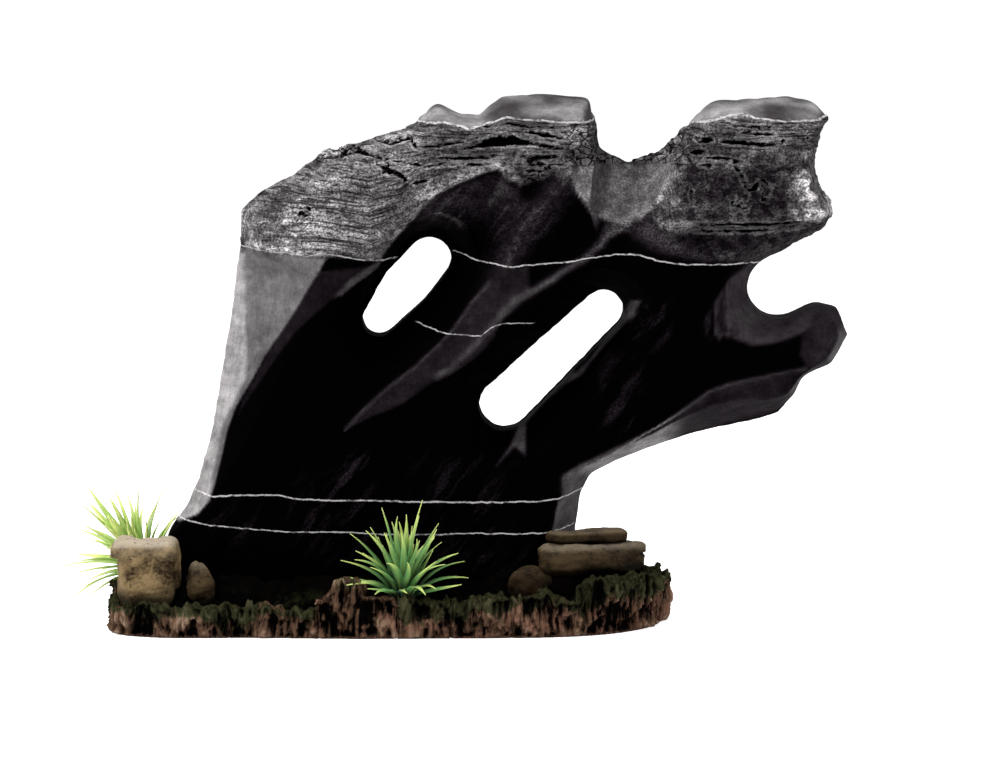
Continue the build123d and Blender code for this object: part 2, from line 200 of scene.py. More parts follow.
# ---- node materials
class Shader:
    """Short names for the nodes that the materials share. Positions are the object's own, in millimetres."""

    def __init__(self, name):
        self.material = bpy.data.materials.new(name)
        self.material.use_nodes = True
        self.tree = self.material.node_tree
        self.surface = self.tree.nodes["Principled BSDF"]
        where = self.node("TexCoord").outputs["Object"]
        self.mm = self.vector("MULTIPLY", where, (1 / MM, 1 / MM, 1 / MM))

    def node(self, kind):
        return self.tree.nodes.new("ShaderNode" + kind)

    def link(self, value, socket):
        """Joins a socket to another, or gives it a plain value."""
        if isinstance(value, bpy.types.NodeSocket):
            self.tree.links.new(value, socket)
        else:
            socket.default_value = value

    def worked_out(self, kind, operation, a, b):
        node = self.node(kind)
        node.operation = operation
        self.link(a, node.inputs[0])
        self.link(b, node.inputs[1])
        return node.outputs[0]

    def vector(self, operation, a, b):
        return self.worked_out("VectorMath", operation, a, b)

    def math(self, operation, a, b=0.0):
        return self.worked_out("Math", operation, a, b)

    def times(self, a, b):
        return self.math("MULTIPLY", a, b)

    def plus(self, a, b):
        return self.math("ADD", a, b)

    def minus(self, a, b):
        return self.math("SUBTRACT", a, b)

    def ramp(self, value, low, high, to_low=0.0, to_high=1.0):
        """Runs smoothly from to_low to to_high as value goes from low to high."""
        node = self.node("MapRange")
        node.interpolation_type = "SMOOTHSTEP"
        for socket, given in zip(node.inputs, (value, low, high, to_low, to_high)):
            self.link(given, socket)
        return node.outputs[0]

    def noise(self, size, detail=4.0, warp=None, rough=0.55):
        """Noise from 0 to 1 whose features are size millimetres across on each axis."""
        node = self.node("TexNoise")
        self.link(self.vector("DIVIDE", warp or self.mm, size), node.inputs["Vector"])
        node.inputs["Scale"].default_value = 1.0
        node.inputs["Detail"].default_value = detail
        node.inputs["Roughness"].default_value = rough
        return node.outputs[0]

    def cells(self, size):
        """Distance from the edge between cells that are size millimetres across."""
        node = self.node("TexVoronoi")
        node.feature = "DISTANCE_TO_EDGE"
        self.link(self.vector("DIVIDE", self.mm, size), node.inputs["Vector"])
        node.inputs["Scale"].default_value = 1.0
        return node.outputs["Distance"]

    def warped(self, size, amount):
        """The position, pushed about by a slow noise."""
        node = self.node("TexNoise")
        self.link(self.vector("DIVIDE", self.mm, size), node.inputs["Vector"])
        node.inputs["Scale"].default_value = 1.0
        node.inputs["Detail"].default_value = 2.0
        centred = self.vector("SUBTRACT", node.outputs["Color"], (0.5, 0.5, 0.5))
        return self.vector("ADD", self.mm, self.vector("MULTIPLY", centred, amount))

    def held(self, name):
        """A number kept on the vertices."""
        node = self.node("Attribute")
        node.attribute_name = name
        return node.outputs["Fac"]

    def mix(self, share, a, b):
        """From colour a to colour b as share goes from 0 to 1."""
        node = self.node("Mix")
        node.data_type = "RGBA"
        self.link(share, node.inputs[0])
        for value, socket in ((a, node.inputs[6]), (b, node.inputs[7])):
            self.link(value if isinstance(value, bpy.types.NodeSocket) else (*value, 1.0), socket)
        return node.outputs[2]

    def blend(self, share, a, b):
        """From number a to number b as share goes from 0 to 1."""
        node = self.node("Mix")
        for socket, value in zip(node.inputs[:1] + node.inputs[2:4], (share, a, b)):
            self.link(value, socket)
        return node.outputs[0]

    def ledge(self, value, start, end):
        """1 in a narrow band of values and 0 on both sides of it."""
        rising = self.ramp(value, start - 0.3, start)
        return self.times(rising, self.ramp(value, end, end + 0.3, 1.0, 0.0))

    def bump(self, height, depth, strength):
        """height is in units of depth millimetres."""
        node = self.node("Bump")
        node.inputs["Strength"].default_value = strength
        node.inputs["Distance"].default_value = depth * MM
        self.link(height, node.inputs["Height"])
        self.tree.links.new(node.outputs[0], self.surface.inputs["Normal"])

    def finish(self, color, roughness, specular):
        self.link(color, self.surface.inputs["Base Color"])
        self.link(roughness, self.surface.inputs["Roughness"])
        self.link(specular, self.surface.inputs["Specular IOR Level"])
        return self.material


def srgb(red, green, blue):
    """A colour as it is seen on a screen, 0 to 255, in the shader's linear terms."""
    return tuple((value / 255.0) ** GAMMA for value in (red, green, blue))


def slate_material():
    """The tones held on the rock, broken up by layers, stipple, cracks and pale lines; the cracks are partly
    painted shade, with a painted highlight round their rims.
    """
    s = Shader("slate")
    tone, rugged, relief = s.held("tone"), s.held("rugged"), s.held("relief")
    bend = s.node("CombineXYZ")
    split = s.node("SeparateXYZ")
    s.link(s.warped((17, 17, 17), (3, 3, 3)), split.inputs[0])
    s.link(split.outputs[0], bend.inputs[0])
    s.link(split.outputs[1], bend.inputs[1])
    s.link(s.held("strata"), bend.inputs[2])
    layers = s.noise((12, 12, 0.85), 2.5, bend.outputs[0], 0.6)
    thick_layers = s.noise((22, 22, 3.2), 3.0, bend.outputs[0], 0.6)
    stipple = s.noise((0.85, 0.85, 0.7), rough=0.7)
    blotch = s.noise((4.2, 4.2, 3.2), 5.0, rough=0.68)
    patches = s.noise((15, 15, 9), rough=0.6)
    brush = s.noise((1.1, 1.1, 30), 3.0)
    layered = s.held("layered")
    lines = s.blend(layered, 1.0, s.ramp(layers, 0.38, 0.50, 0.42, 1.08))
    bands = s.blend(layered, 1.0, s.ramp(thick_layers, 0.36, 0.58, 0.74, 1.12))
    dots = s.ramp(stipple, 0.35, 0.52, 0.46, 1.0)
    lights = s.ramp(stipple, 0.50, 0.68, 1.0, 1.30)
    mottle = s.ramp(blotch, 0.36, 0.60, s.blend(layered, 0.50, 0.90), s.blend(layered, 1.22, 1.05))
    texture = s.times(s.times(lines, dots), mottle)
    tone_factor = s.times(s.times(texture, lights), bands)
    tone_factor = s.times(tone_factor, s.ramp(relief, -0.7, 0.6, 0.72, 1.22))
    dull, lit = s.blend(layered, 0.92, 1.02), s.blend(layered, 1.34, 1.24)
    tone_factor = s.times(tone_factor, s.ramp(patches, 0.30, 0.66, dull, lit))
    plain = s.plus(s.ramp(brush, 0.25, 0.75, -0.06, 0.06), s.ramp(stipple, 0.25, 0.75, -0.07, 0.07))
    plain = s.plus(plain, s.ramp(blotch, 0.25, 0.75, -0.10, 0.10))
    plain = s.plus(plain, s.ramp(patches, 0.3, 0.7, 0.84, 1.12))
    # Dim surfaces are grainier than the pale ones.
    grainy = s.times(s.ramp(stipple, 0.38, 0.60, 0.55, 1.35), s.ramp(blotch, 0.40, 0.60, 0.72, 1.15))
    plain = s.times(plain, s.blend(s.times(s.held("grain"), 0.7), 1.0, grainy))
    # Dim streaks and specks wander over the black core.
    slant = s.node("VectorRotate")
    slant.rotation_type = "Y_AXIS"
    slant.inputs["Angle"].default_value = radians(52)
    s.link(s.warped((20, 20, 20), (9, 9, 9)), slant.inputs["Vector"])
    smear = s.ramp(s.noise((30, 12, 4.5), 5.0, slant.outputs[0], 0.62), 0.45, 0.68)
    smear = s.times(smear, s.ramp(stipple, 0.36, 0.60, 0.30, 1.0))
    smear = s.times(smear, s.plus(s.times(s.held("specks"), 0.12), 0.02))
    bright = s.times(tone, s.blend(rugged, plain, tone_factor))
    bright = s.plus(bright, smear)
    crack = s.plus(s.held("crack"), s.times(s.minus(s.noise((3.2, 3.2, 1.5), 5.0, rough=0.65), 0.5), 3.8))
    shatter = s.ramp(s.cells((5.2, 5.2, 2.6)), 0.02, 0.10, 1.0, 0.0)
    bright = s.times(bright, s.blend(s.times(shatter, s.held("crackle")), 1.0, 0.22))
    # Cracks and pits go nearly black, partly the black base paint left in them and partly painted shade; a
    # painted highlight runs round each crack's rim on the rugged surface.
    bright = s.times(bright, s.ramp(crack, -0.4, 0.5, 0.05, 1.0))
    bright = s.plus(bright, s.times(s.ledge(crack, 0.25, 0.9), s.times(rugged, 0.16)))
    wobble = s.times(s.minus(s.noise((4, 4, 4)), 0.5), 1.5)
    line = 0.0
    for name, (_, _, width) in VEINS.items():
        off = s.math("ABSOLUTE", s.plus(s.held(name), wobble))
        one = s.ramp(off, width * 0.45, width * 1.25, 1.0, 0.0)
        line = s.math("MAXIMUM", line, s.times(one, s.held(name + "_on")))
    broken = s.ramp(s.noise((2.6, 2.6, 2.6)), 0.32, 0.52, 0.50, 1.0)
    line = s.times(line, broken)
    bright = s.math("MAXIMUM", bright, s.times(line, 0.66))
    bright = s.plus(bright, s.times(line, s.times(tone, 0.22)))
    linear = s.math("POWER", s.math("MAXIMUM", bright, 0.0), GAMMA)
    grey = s.mix(s.math("MINIMUM", linear, 1.0), (0.0, 0.0, 0.0), (1.0, 0.955, 0.965))
    violet = s.ramp(bright, 0.02, 0.30, 1.0, 0.0)
    tint = s.mix(violet, (1.0, 1.0, 1.0), (1.05, 0.72, 1.02))
    color = s.vector("MULTIPLY", grey, tint)
    color = s.vector("ADD", color, (0.0002, 0.0001, 0.0002))
    height = s.times(texture, s.plus(rugged, 0.05))
    height = s.plus(height, s.times(s.ramp(crack, -0.6, 0.6), 0.6))
    height = s.plus(height, s.times(line, 0.10))
    s.bump(height, 1.1, 0.8)
    return s.finish(color, s.ramp(bright, 0.0, 0.4, 0.62, 0.85), s.ramp(bright, 0.0, 0.25, 0.005, 0.05))


def bark_material():
    s = Shader("bark")
    relief, top, redness = s.held("relief"), s.held("mossy"), s.held("redness")
    flow = s.warped((9, 9, 20), (2.5, 2.5, 3))
    fibres = s.noise((1.2, 1.2, 9.0), 5.0, flow, 0.65)
    grit = s.noise((1.3, 1.3, 1.6), rough=0.7)
    # The relief paints the crevices darker and the ridges paler: painted shade and highlight; the fibres and
    # grit are the bark's grain.
    light = s.plus(s.times(fibres, 0.70), s.times(relief, 0.50))
    light = s.plus(light, s.times(grit, 0.20))
    wood = s.mix(s.ramp(light, 0.54, 0.84), srgb(8, 5, 4), srgb(98, 76, 61))
    wood = s.mix(s.ramp(light, 0.82, 1.00, 0.0, 0.85), wood, srgb(166, 140, 118))
    rust = s.mix(s.ramp(light, 0.52, 0.90), srgb(14, 8, 6), srgb(128, 94, 78))
    wood = s.mix(s.times(redness, s.ramp(s.noise((9, 9, 6), 3.0), 0.40, 0.60)), wood, rust)
    moss = s.mix(s.ramp(light, 0.52, 0.98), srgb(3, 4, 2), srgb(50, 60, 38))
    edge = s.plus(top, s.times(s.minus(s.noise((2.6, 2.6, 9)), 0.5), 1.5))
    color = s.mix(s.ramp(edge, 0.40, 0.62, 0.0, 0.85), wood, moss)
    s.bump(s.plus(fibres, s.times(grit, 0.5)), 1.5, 1.0)
    return s.finish(color, 0.85, 0.03)


def moss_material():
    s = Shader("moss")
    relief = s.held("relief")
    clumps = s.noise((1.8, 1.8, 2.4), 5.0, rough=0.7)
    light = s.plus(s.times(clumps, 0.6), s.times(relief, 0.5))
    front = s.held("front")
    color = s.mix(s.ramp(light, 0.55, 0.92), srgb(1, 1, 1), s.mix(front, srgb(10, 9, 7), srgb(42, 44, 28)))
    color = s.mix(s.ramp(s.noise((7, 7, 7), 3.0), 0.48, 0.62, 0.0, 0.7), color, srgb(14, 10, 7))
    s.bump(clumps, 1.8, 1.0)
    return s.finish(color, 0.9, 0.02)


def stone_material():
    s = Shader("pebble")
    relief, low, pale, shade = s.held("relief"), s.held("low"), s.held("pale"), s.held("shade")
    flow = s.warped((11, 11, 11), (5, 5, 5))
    blotch = s.noise((8, 8, 5), 6.0, flow, 0.65)
    grit = s.noise((1.3, 1.3, 1.0), rough=0.7)
    specks = s.ramp(s.noise((1.7, 1.7, 1.3), 3.0), 0.60, 0.72)
    light = s.plus(s.times(blotch, 0.75), s.times(relief, 0.35))
    light = s.plus(light, s.times(s.minus(grit, 0.5), 0.35))
    color = s.mix(s.ramp(light, 0.36, 0.70), srgb(40, 30, 19), srgb(146, 124, 90))
    # Paler on top: a painted highlight.
    color = s.mix(s.times(pale, 0.8), color, srgb(186, 175, 157))
    color = s.mix(s.times(specks, 0.5), color, srgb(34, 27, 21))
    # Darker towards the bottom of each stone, with a blotchy edge.
    darker_below = s.plus(low, s.times(s.minus(blotch, 0.5), 1.2))
    color = s.mix(s.ramp(darker_below, 0.30, 0.85, 0.0, 0.85), color, srgb(24, 24, 16))
    color = s.vector("MULTIPLY", color, s.mix(shade, (1.0, 1.0, 1.0), (0.03, 0.018, 0.008)))
    s.bump(s.plus(blotch, s.plus(s.times(grit, 0.4), s.times(specks, -0.3))), 1.2, 0.8)
    return s.finish(color, 0.7, 0.05)


def grass_material(name, root, middle, tip):
    s = Shader(name)
    along, vary = s.held("along"), s.held("vary")
    at = s.plus(along, s.times(s.minus(vary, 0.5), 0.3))
    color = s.mix(s.ramp(at, 0.02, 0.42), root, middle)
    color = s.mix(s.ramp(at, 0.45, 0.98), color, tip)
    color = s.mix(s.ramp(s.held("rib"), 0.0, 1.0, 0.0, 0.25), color, tip)
    s.surface.inputs["Subsurface Weight"].default_value = 0.12
    s.surface.inputs["Subsurface Radius"].default_value = (0.4, 0.9, 0.2)
    s.surface.inputs["Subsurface Scale"].default_value = 0.002
    return s.finish(color, 0.42, 0.45)


def plain_material(name, dark, light):
    s = Shader(name)
    grain = s.noise((2.5, 2.5, 2.5))
    s.bump(grain, 0.4, 0.5)
    return s.finish(s.mix(s.ramp(grain, 0.35, 0.65), dark, light), 0.7, 0.25)


# ---- the rock
# Features of the rock's broad faces, as (x, z) in millimetres. The back face repeats them, shifted a little.
UPPER_SLOT = ((-4.2, 120.8, 6.6), (6.9, 134.4, 9.5), (16.2, 145.3, 8.7))
LONG_SLOT = ((46.2, 86.8, 10.3), (85.2, 124.6, 8.3))
BAY = ((155.4, 134.2, 12.8), (195.9, 153.8, 13.4))

SHOULDER_LINE = [
    (-6, 147), (0, 152), (9, 161), (19, 173), (30, 178), (38, 181), (43, 182), (47, 178), (52, 174),
]
CROWN_LINE = [(72, 180), (64, 172), (58, 165), (53, 158), (49, 150), (46, 143), (44, 134)]
UPPER_RIDGE = [
    (45, 125), (53, 132), (60, 136.5), (65, 139.5), (71, 144), (77, 147.5), (80, 150), (86, 156),
    (92.5, 159), (100, 163.5), (104.5, 168), (109.5, 176), (114, 184), (117, 190), (119, 195),
]
MID_RIDGE = [(20, 100.5), (25.5, 104), (36, 115), (42, 121), (45, 126), (50, 131), (56, 135)]
MID_EDGE = [(-17, 79.5), (-11, 86), (-1, 95), (11, 105), (20.5, 114), (26.5, 121), (33.5, 131), (40, 138)]
LOWER_STRIP = [
    (100, 130.5), (97.5, 124), (91.5, 117), (83.5, 108), (76.7, 99), (70, 94.8), (63, 89), (58, 83.8),
    (54.5, 79.5), (54.5, 68.5), (50, 71.5), (42, 64.5), (48, 71.5), (52, 79.5), (57, 85.3), (60, 90.3),
    (63, 95.3), (67, 97.7), (74.8, 100.2), (79.7, 105.2), (89.6, 118.6), (93, 124), (96, 130),
]
LAYERED_LEFT = [
    (-80, 150.5), (-57, 151), (-31, 148.5), (-14, 147.5), (-4, 145.5), (0, 151), (9, 161), (19, 173),
    (30, 178), (38, 181), (43, 182), (47, 178), (52, 176), (66, 180), (74, 182), (78, 192), (90, 230),
    (-40, 230), (-90, 180),
]
LAYERED_RIGHT = [
    (97, 194), (119, 195), (117, 190), (114, 184), (109, 176), (105, 168), (102, 163.5), (110, 156),
    (120, 149), (143, 145.5), (160, 152), (175, 160), (190, 172), (190, 230), (90, 230),
]
# The left facet, painted grey: partly its dry-brushed paint, partly painted light from the left.
LEFT_FACET = [
    (-27, 142), (-35, 128), (-41.5, 118), (-49, 107), (-56, 95), (-60.7, 87), (-64.2, 77.5),
    (-66.7, 65.5), (-68.7, 57), (-70.8, 51), (-76, 45), (-84, 40.5), (-120, 39), (-120, 160), (-57, 151),
    (-31, 148.5), (-24, 148),
]
# The leftmost strip of the left facet, painted lighter still: painted light from the left.
LEFT_STRIP = [
    (-57, 148), (-57, 118), (-56, 106), (-57, 98), (-66, 80), (-70, 60), (-72, 40), (-120, 30),
    (-120, 160),
]
DASHED = [
    (-27, 142), (-5, 144.5), (-12, 138), (-19, 133.5), (-28, 125), (-36, 118), (-45.5, 105), (-56, 90),
    (-60, 84), (-58, 90), (-48.5, 107), (-41.5, 118), (-35, 128),
]
SLOT_STRIP = [(-2.5, 145.5), (-7, 144), (-15, 139), (-21.5, 131.5), (-18.5, 132), (-13, 136.5), (-4, 142.5)]
MID_FACET = [
    (-17, 79), (-7, 84.3), (6, 89.3), (16.5, 97), (25.5, 101), (35, 108), (42.3, 116), (45.2, 124),
    (50, 131), (56, 135.5), (56, 145), (43, 143), (40, 138), (33.5, 131), (26.5, 121), (20.5, 114),
    (11, 105), (-1, 95), (-11, 86),
]
BOWL = [
    (-4, 146), (0, 151), (9, 161), (19, 173), (30, 177), (38, 180), (43, 181), (47, 177), (55, 170),
    (50, 158), (44, 146), (34, 136), (24, 124), (6, 112), (-8, 112), (-13, 124), (-8, 136),
]
FLANGE = [
    (107, 80), (114, 85), (121, 90), (127, 94.3), (135, 97), (145, 99), (153, 100.7), (165, 102.5),
    (190, 104), (190, 60), (60, 30), (78, 62), (90, 70),
]
# A pale strip along the underside of the lower right arm: a painted highlight.
UNDER_EDGE_HIGHLIGHT = [
    (60, 20), (68.5, 40), (68.5, 61), (76, 66), (84, 69.5), (92, 73), (107, 80), (124, 82), (150, 80),
    (150, 50), (60, 0),
]
HOOK_TOP = [
    (122, 120), (127, 127), (132, 135), (134, 138), (144, 145), (150, 150), (200, 170), (200, 124),
    (178, 126), (172.4, 122), (170.5, 119.6), (163.5, 116.6), (158.6, 114.6), (151.7, 112.7),
    (143.8, 112.2), (137, 115), (132, 116), (130, 113), (128, 113),
]
HOOK_TIP = [
    (163.5, 115), (162.5, 108), (166, 103.5), (190, 98), (190, 130), (174, 129), (168, 124), (166.5, 119),
]
SADDLE_DISH = [
    (72, 181), (74, 174.5), (80, 166), (85, 163), (91.5, 160.5), (99.5, 163), (105, 168), (112, 177.5),
    (116, 186), (119, 195), (112, 205), (70, 205),
]
DIM_RIGHT = [
    (92, 158), (100, 163.5), (112, 162), (175, 163), (180, 158), (150, 143), (143, 145), (120, 146),
    (105, 150),
]

VEIN_A = [
    (-70, 151), (-57, 150.9), (-42, 149.6), (-31.7, 148.4), (-26, 149.6), (-14, 147.2), (-3, 145.6),
    (25.4, 149), (35.3, 146.4), (49, 144.4), (62, 145.4), (71.8, 146.4), (79.7, 148.4), (89.6, 149),
    (99.4, 148.4), (105.3, 146.6), (114, 144.9), (128, 144.4), (150, 144.4),
]
VEIN_B = [(10.7, 120.9), (22, 118.1), (36.8, 117), (41, 120.6), (46, 122), (52, 121.8), (70, 121)]
VEIN_C = [
    (-95, 54), (-69, 52.6), (-45, 53.2), (-35, 51.4), (-18, 50.6), (10, 50.6), (44, 50.3), (60, 51.2),
    (80, 53.2),
]
VEIN_D = [(-95, 41), (-82, 42), (-60, 39.8), (-39, 38.3), (12, 37.7), (60, 38.4), (80, 39)]
CAP_EDGE = [
    (-10, 194), (8, 200), (22, 200.3), (32, 198), (42, 200.6), (47, 202.5), (55, 201), (72, 200.8),
    (84, 201), (110, 196), (120, 199.5), (128, 201), (133, 202.5), (139, 203.3), (145, 202), (160, 201),
    (172, 202),
]
# The pale lines: where each runs, the x at which it starts and ends, and its half width.
VEINS = {
    "vein_a": (VEIN_A, (-90, 152), 0.34),
    "vein_b": (VEIN_B, (11, 58), 0.30),
    "vein_c": (VEIN_C, (-99, 90), 0.40),
    "vein_d": (VEIN_D, (-99, 90), 0.32),
    "crust": (CAP_EDGE, (-6, 178), 0.5),
}
# Cracks: where each runs and its half width in the middle.
CRACKS = [
    ([(-27, 186.7), (-18, 188), (-16, 190.6), (-10, 189.3), (-3, 188), (1, 184)], 0.45),
    ([(-22, 189), (-16, 191), (-12, 192)], 0.3),
    ([(-12, 194), (-7, 193.6), (1, 192.2), (8.7, 194.6), (11.3, 191.3), (22, 192.6), (30, 194),
      (35, 195.3)], 0.45),
    ([(-4.4, 185), (0.8, 181.8), (4, 181), (8, 178.4)], 0.8),
    ([(-2, 187), (4, 186), (10, 184.5), (17, 184), (24, 186)], 0.35),
    ([(8, 178.4), (11, 177), (16.6, 179)], 0.35),
    ([(20, 187), (32, 187.3), (45, 187.6)], 0.45),
    ([(24, 184.6), (34, 184.4), (44, 185)], 0.3),
    ([(28, 190.4), (36, 192.4)], 0.6),
    ([(35, 192), (41, 193.4), (49, 193.5), (57, 192.4)], 1.7),
    ([(57, 192.4), (63, 191), (69, 190.6)], 0.7),
    ([(51, 187.5), (58, 186.6), (67, 187.4)], 0.65),
    ([(50, 184.4), (57, 184.8), (63, 183.2), (69, 184)], 0.55),
    ([(54, 181.4), (60, 181.8), (66, 180.6)], 0.4),
    ([(36, 199.4), (47, 200.4), (58, 198.6), (72, 198.8)], 0.3),
    ([(54, 197), (62, 195.6), (69, 194.6)], 0.55),
    ([(121, 194.6), (128, 194.2)], 1.1),
    ([(131, 193.6), (140, 193.2), (153, 191.6)], 0.85),
    ([(119, 189.6), (125, 189.2)], 0.7),
    ([(125, 187.3), (133, 186.8), (141, 185)], 0.4),
    ([(136, 199.4), (148, 198.6), (154, 199)], 0.35),
    ([(138, 196.6), (146, 196.4), (152, 196)], 0.3),
    ([(122, 184.6), (128, 184)], 0.35),
    ([(115, 161), (130, 160.6), (150, 160.8), (171, 161.4)], 0.35),
    ([(117, 158), (134, 157.8), (152, 158), (166, 158.8)], 0.32),
    ([(155, 193.6), (156, 193.4)], 0.9),
    ([(165, 194), (166, 193.9)], 0.6),
    ([(77, 194), (80, 188), (84, 184.5), (92, 182.5), (99, 183.6), (108, 187)], 0.3),
    ([(74, 191), (75, 187), (78, 181), (79.5, 177)], 0.4),
    ([(119, 176), (119.5, 168)], 0.35),
    ([(135, 186), (139, 180), (141, 174)], 0.4),
]
# Clusters of small pits: the centre and how far each spreads.
PITS = [
    ((-33, 165), 9.0), ((1, 182), 8.0), ((7, 180), 7.0), ((-16, 188.5), 6.0), ((146, 175), 12.0),
    ((138, 168), 11.0), ((58, 177), 9.0),
]
# Specked patches of the black core: the centre, the reach and the strength of each.
SPECKED = [
    ((-15, 62), 17, 1.0), ((-20, 44), 30, 0.8), ((30, 44), 40, 0.8), ((-60, 44), 16, 0.7),
    ((104, 122), 16, 1.0), ((92, 100), 14, 0.8), ((92, 85), 12, 0.9), ((58, 160), 14, 0.9),
    ((40, 30), 50, 0.5),
]
NO_CRACK = 9.0                # the distance that stands for no crack nearby
CORE_TONE = 0.004             # the black core's brightness
PLINTH_BURIED, PLINTH_CLEAR = 17.0, 22.0    # the rock isn't carved below the first of these heights


def tangent_depth(x, z, circles):
    """Distance outside the chain of circles and their common tangents, roughly."""
    best = np.full(len(x), np.inf)
    for (x0, z0, r0), (x1, z1, r1) in zip(circles, circles[1:]):
        t, away = from_run(x, z, (x0, z0), (x1, z1))
        best = np.minimum(best, away - (r0 + (r1 - r0) * t))
    return best


def outside_slots(x, z):
    return np.minimum(tangent_depth(x, z, UPPER_SLOT), tangent_depth(x, z, LONG_SLOT))


def near(x, z, line, reach, power=2.0):
    """1 on a line, falling away over the given reach."""
    return np.exp(-((line_distance(x, z, line) / reach) ** power))


def within(x, z, outline, soft=0.5):
    """1 inside an outline, 0 outside it."""
    return smooth(-soft, soft, inside_depth(x, z, outline))


def face_place(points):
    """The (x, z) at which the broad faces' features are looked up; the back's wander more."""
    back = (points[:, 1] > 0).astype(float)
    wander_x = fractal(points, 30.0, 5, 2) * (0.7 + 3.0 * back)
    wander_z = fractal(points, 26.0, 6, 2) * (0.7 + 3.0 * back)
    return points[:, 0] + wander_x + 3.0 * back, points[:, 2] + wander_z - 2.0 * back


def rock_heights(points):
    """How far the broad faces stand out or fall back at each point, and the share of rugged surface there."""
    x, z = face_place(points)
    layered = np.maximum(inside_depth(x, z, LAYERED_LEFT), inside_depth(x, z, LAYERED_RIGHT))
    # The rugged surface ends in a ragged edge below the crown and below the right lump.
    below_crown = smooth(46, 54, x) * smooth(76, 72, x)
    below_right = smooth(104, 112, x) * smooth(160, 150, x) * smooth(172, 166, z)
    ragged = below_crown + below_right
    layered = layered + ragged * (3.0 * fractal(points, (5.0, 5.0, 4.0), 15, 3) - 0.6)
    rugged = smooth(-0.8 - 2.0 * ragged, 1.2 + 2.0 * ragged, layered)
    height = 1.8 * smooth(-1.0, 3.0, layered)
    bowl = inside_depth(x, z, BOWL)
    height -= 8.0 * smooth(0.0, 12.0, bowl)
    height -= 2.0 * smooth(-1.2, 0.6, bowl)
    height += 1.6 * near(x, z, SHOULDER_LINE, 2.6)
    height += 2.0 * near(x, z, CROWN_LINE, 3.0)
    height += 2.2 * within(x, z, MID_FACET, 2.2)
    height += 1.5 * near(x, z, MID_RIDGE, 2.2) + 0.9 * near(x, z, MID_EDGE, 1.6)
    height += 3.0 * near(x, z, UPPER_RIDGE, 3.4, 1.4)
    height += 1.8 * within(x, z, LOWER_STRIP, 1.8)
    flange = inside_depth(x, z, FLANGE)
    height -= 4.5 * smooth(-0.8, 1.2, flange) + 3.5 * smooth(1.0, 22.0, flange)
    height -= 4.0 * smooth(-3.0, 6.0, inside_depth(x, z, HOOK_TOP))
    height -= 3.0 * smooth(-1.0, 6.0, inside_depth(x, z, SADDLE_DISH))
    height -= 1.6 * within(x, z, SLOT_STRIP, 1.5)
    for slot in (UPPER_SLOT, LONG_SLOT):
        height -= 2.0 * np.exp(-((tangent_depth(points[:, 0], points[:, 2], slot) / 5.0) ** 2))
    across = np.stack([x * 0.62 + z * 0.78, (z * 0.62 - x * 0.78) * 3.0, points[:, 1]], axis=1)
    height += (1.0 - rugged) * 1.5 * fractal(across, 55.0, 31, 3)
    return height, rugged


def outside_crack(x, z, line, width):
    """Distance outside one crack, which is widest in its middle and closes at both ends."""
    lengths = [np.hypot(x1 - x0, z1 - z0) for (x0, z0), (x1, z1) in zip(line, line[1:])]
    best, passed = np.full(len(x), NO_CRACK), 0.0
    for start, end, length in zip(line, line[1:], lengths):
        t, away = from_run(x, z, start, end)
        along = (passed + t * length) / sum(lengths)
        best = np.minimum(best, away - width * (0.3 + 0.8 * np.sin(pi * along)))
        passed += length
    return best


def crack_distance(points):
    """Distance outside the nearest crack or pit, in millimetres; negative within it."""
    x, z = face_place(points)
    best = np.full(len(x), NO_CRACK)
    for line, width in CRACKS:
        best = np.minimum(best, outside_crack(x, z, line, width))
    pitting = fractal(points, 1.8, 91, 3)
    for (px, pz), reach in PITS:
        spread = smooth(reach, 0.0, np.hypot(x - px, z - pz))
        best = np.minimum(best, 3.0 - spread * (2.7 + 5.0 * pitting))
    return best


def strata_level(points):
    """Height within the strata: level near the crown, sagging and then climbing across the left shoulder."""
    x, z = points[:, 0], points[:, 2]
    sag = np.interp(x, (-62, -40, -20, -7, 6, 16, 30, 43, 52, 64), (2, 1.5, 0, -2.5, 1.5, 9.5, 17, 20, 15, 8))
    low = smooth(192.0, 176.0, z) * smooth(90, 60, x)
    return z - sag * low + 1.6 * fractal(points, (24.0, 24.0, 20.0), 77, 2)


